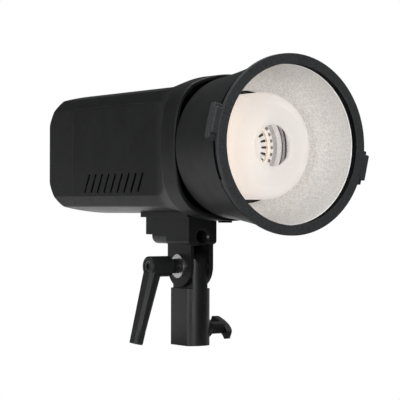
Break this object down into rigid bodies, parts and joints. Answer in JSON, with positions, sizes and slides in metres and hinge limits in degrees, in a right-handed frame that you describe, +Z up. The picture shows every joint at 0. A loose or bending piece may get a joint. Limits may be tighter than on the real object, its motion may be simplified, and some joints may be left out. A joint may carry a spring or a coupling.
{
  "type": "monolight strobe",
  "caption": "Battery monolight strobe with a frosted dome in a bowl reflector, on a tilting bracket with a clamping lever, stand socket and umbrella hole.",
  "frame": {"origin": "centre of the stand socket's mouth", "axes": "+Z up along the socket, +X the way the light shines, +Y the battery side"},
  "size_m": [0.3295, 0.1558, 0.24],
  "materials": {
    "housing_plastic": "fine-textured charcoal",
    "panel_plastic": "smooth satin black",
    "bracket_metal": "black powder coat",
    "socket_metal": "satin black coat",
    "lever_metal": "black textured coat",
    "reflector_plastic": "matt black",
    "rim_plastic": "coarse-textured dark grey",
    "bright_steel": "zinc plated",
    "black_steel": "black oxide",
    "brass": "turned",
    "spun_aluminium": "satin with a hammered sparkle",
    "chrome": "polished",
    "raw_aluminium": "extruded",
    "frosted_glass": "frosted white",
    "clear_glass": "clear",
    "lamp_white": "white",
    "circuit_board": "solder mask",
    "led_yellow": "phosphor",
    "component_dark": "moulded",
    "capacitor_sleeve": "shrink sleeve",
    "fibre": "friction fibre",
    "rubber": "soft matt",
    "button_plastic": "satin",
    "screen_glass": "gloss",
    "gold": "plated"
  },
  "bodies": {
    "stand": {"stand_socket": "socket_metal", "friction_discs": "fibre"},
    "clamp_pad": {"thrust_pad": "brass"},
    "clamp_knob": {"clamp_screw": "bright_steel", "clamp_wing": "button_plastic"},
    "umbrella_tip": {"umbrella_pad": "lamp_white"},
    "umbrella_knob": {"umbrella_screw": "black_steel"},
    "lever_washer": {"thrust_washer": "bright_steel"},
    "lever_hub": {"lever_insert": "black_steel", "lever_screw": "black_steel", "lever_spring": "bright_steel"},
    "lever": {"lever_handle": "lever_metal"},
    "battery": {"battery_pack": "housing_plastic"},
    "battery_key": {"battery_latch": "button_plastic"},
    "dial": {"control_dial": "button_plastic"},
    "mode_key": {"mode_button": "button_plastic"},
    "menu_key": {"menu_button": "button_plastic"},
    "test_key": {"test_button": "button_plastic"},
    "power_key": {"power_button": "button_plastic"},
    "flap": {"port_flap": "rubber"},
    "fan": {"fan_rotor": "component_dark"},
    "release_slide": {"mount_release": "button_plastic"},
    "reflector": {"reflector_barrel": "reflector_plastic", "barrel_grips": "rim_plastic", "bowl_collar": "spun_aluminium", "reflector_liner": "spun_aluminium"},
    "rim": {"front_ring": "rim_plastic"},
    "head": {"bracket_yoke": "bracket_metal", "base_screws": "black_steel", "base_plate": "bracket_metal", "umbrella_sleeve": "black_steel", "tilt_bolt": "black_steel", "main_housing": "housing_plastic", "side_panel": "panel_plastic", "rear_cover": "housing_plastic", "housing_screws": "black_steel", "port_block": "component_dark", "chassis": "raw_aluminium", "mount_ring": "black_steel", "mount_screws": "black_steel", "lamp_base": "lamp_white", "heat_sink": "raw_aluminium", "led_board": "lamp_white", "led_chips": "led_yellow", "centre_lens": "chrome", "flash_tube": "clear_glass", "inner_reflector": "chrome", "dome": "frosted_glass", "dome_window": "clear_glass", "capacitors": "capacitor_sleeve", "power_board": "circuit_board", "charging_transformer": "component_dark", "fan_frame": "component_dark", "battery_bay": "panel_plastic", "battery_contacts": "gold", "control_panel": "panel_plastic", "display_window": "screen_glass", "display_module": "component_dark", "control_board": "circuit_board", "dial_encoder": "bright_steel"}
  },
  "joints": [
    {"name": "head_tilt", "type": "hinge", "parent": "stand", "child": "head", "pos_m": [0, 0, 0.068], "axis": [0, 1, 0], "range_deg": [-80, 80]},
    {"name": "clamp_travel", "type": "slide", "parent": "stand", "child": "clamp_pad", "axis": [0, 1, 0], "range_m": [-0.0003, 0.00249]},
    {"name": "clamp_turn", "type": "hinge", "parent": "clamp_pad", "child": "clamp_knob", "pos_m": [0, 0.03, 0.0138], "axis": [0, 1, 0], "range_deg": [-90, 720]},
    {"name": "umbrella_travel", "type": "slide", "parent": "head", "child": "umbrella_tip", "axis": [0, 1, 0], "range_m": [-0.00034, 0.00139]},
    {"name": "umbrella_turn", "type": "hinge", "parent": "umbrella_tip", "child": "umbrella_knob", "pos_m": [-0.008, 0.018, 0.0935], "axis": [0, 1, 0], "range_deg": [-180, 720]},
    {"name": "lever_travel", "type": "slide", "parent": "head", "child": "lever_washer", "axis": [0, -1, 0], "range_m": [0, 0.0005]},
    {"name": "lever_turn", "type": "hinge", "parent": "lever_washer", "child": "lever_hub", "pos_m": [0, -0.03, 0.068], "axis": [0, -1, 0], "range_deg": [0, 110]},
    {"name": "lever_lift", "type": "slide", "parent": "lever_hub", "child": "lever", "axis": [0, -1, 0], "range_m": [0, 0.004], "stiffness_N_per_m": 300, "springref_m": -0.004, "deforming": ["lever_spring"]},
    {"name": "battery_slide", "type": "slide", "parent": "head", "child": "battery", "axis": [0, 1, 0], "range_m": [0, 0.045]},
    {"name": "battery_key_press", "type": "slide", "parent": "battery", "child": "battery_key", "axis": [0, -1, 0], "range_m": [0, 0.002], "stiffness_N_per_m": 200, "springref_m": -0.004},
    {"name": "dial_turn", "type": "hinge", "parent": "head", "child": "dial", "pos_m": [-0.177, 0, 0.151], "axis": [-1, 0, 0], "continuous": true},
    {"name": "flap_hinge", "type": "hinge", "parent": "head", "child": "flap", "pos_m": [-0.1603, 0.0417, 0.168], "axis": [0, 0, 1], "range_deg": [0, 100]},
    {"name": "fan_spin", "type": "hinge", "parent": "head", "child": "fan", "pos_m": [-0.057, -0.034, 0.148], "axis": [0, 1, 0], "continuous": true},
    {"name": "release_pull", "type": "slide", "parent": "head", "child": "release_slide", "axis": [-1, 0, 0], "range_m": [0, 0.003], "stiffness_N_per_m": 200, "springref_m": -0.004},
    {"name": "reflector_twist", "type": "hinge", "parent": "head", "child": "reflector", "pos_m": [0.1, 0, 0.168], "axis": [1, 0, 0], "range_deg": [0, 35]},
    {"name": "rim_twist", "type": "hinge", "parent": "reflector", "child": "rim", "pos_m": [0.14, 0, 0.168], "axis": [1, 0, 0], "range_deg": [0, 20]},
    {"name": "mode_press", "type": "slide", "parent": "head", "child": "mode_key", "axis": [1, 0, 0], "range_m": [0, 0.001], "stiffness_N_per_m": 150, "springref_m": -0.004},
    {"name": "menu_press", "type": "slide", "parent": "head", "child": "menu_key", "axis": [1, 0, 0], "range_m": [0, 0.001], "stiffness_N_per_m": 150, "springref_m": -0.004},
    {"name": "test_press", "type": "slide", "parent": "head", "child": "test_key", "axis": [1, 0, 0], "range_m": [0, 0.001], "stiffness_N_per_m": 150, "springref_m": -0.004},
    {"name": "power_press", "type": "slide", "parent": "head", "child": "power_key", "axis": [1, 0, 0], "range_m": [0, 0.001], "stiffness_N_per_m": 150, "springref_m": -0.004}
  ],
  "couplings": [
    {"joint": "clamp_turn", "follows": "clamp_travel", "rad_per_m": 5026.5},
    {"joint": "umbrella_turn", "follows": "umbrella_travel", "rad_per_m": 8976},
    {"joint": "lever_travel", "follows": "lever_turn", "m_per_rad": 0.00019894}
  ]
}
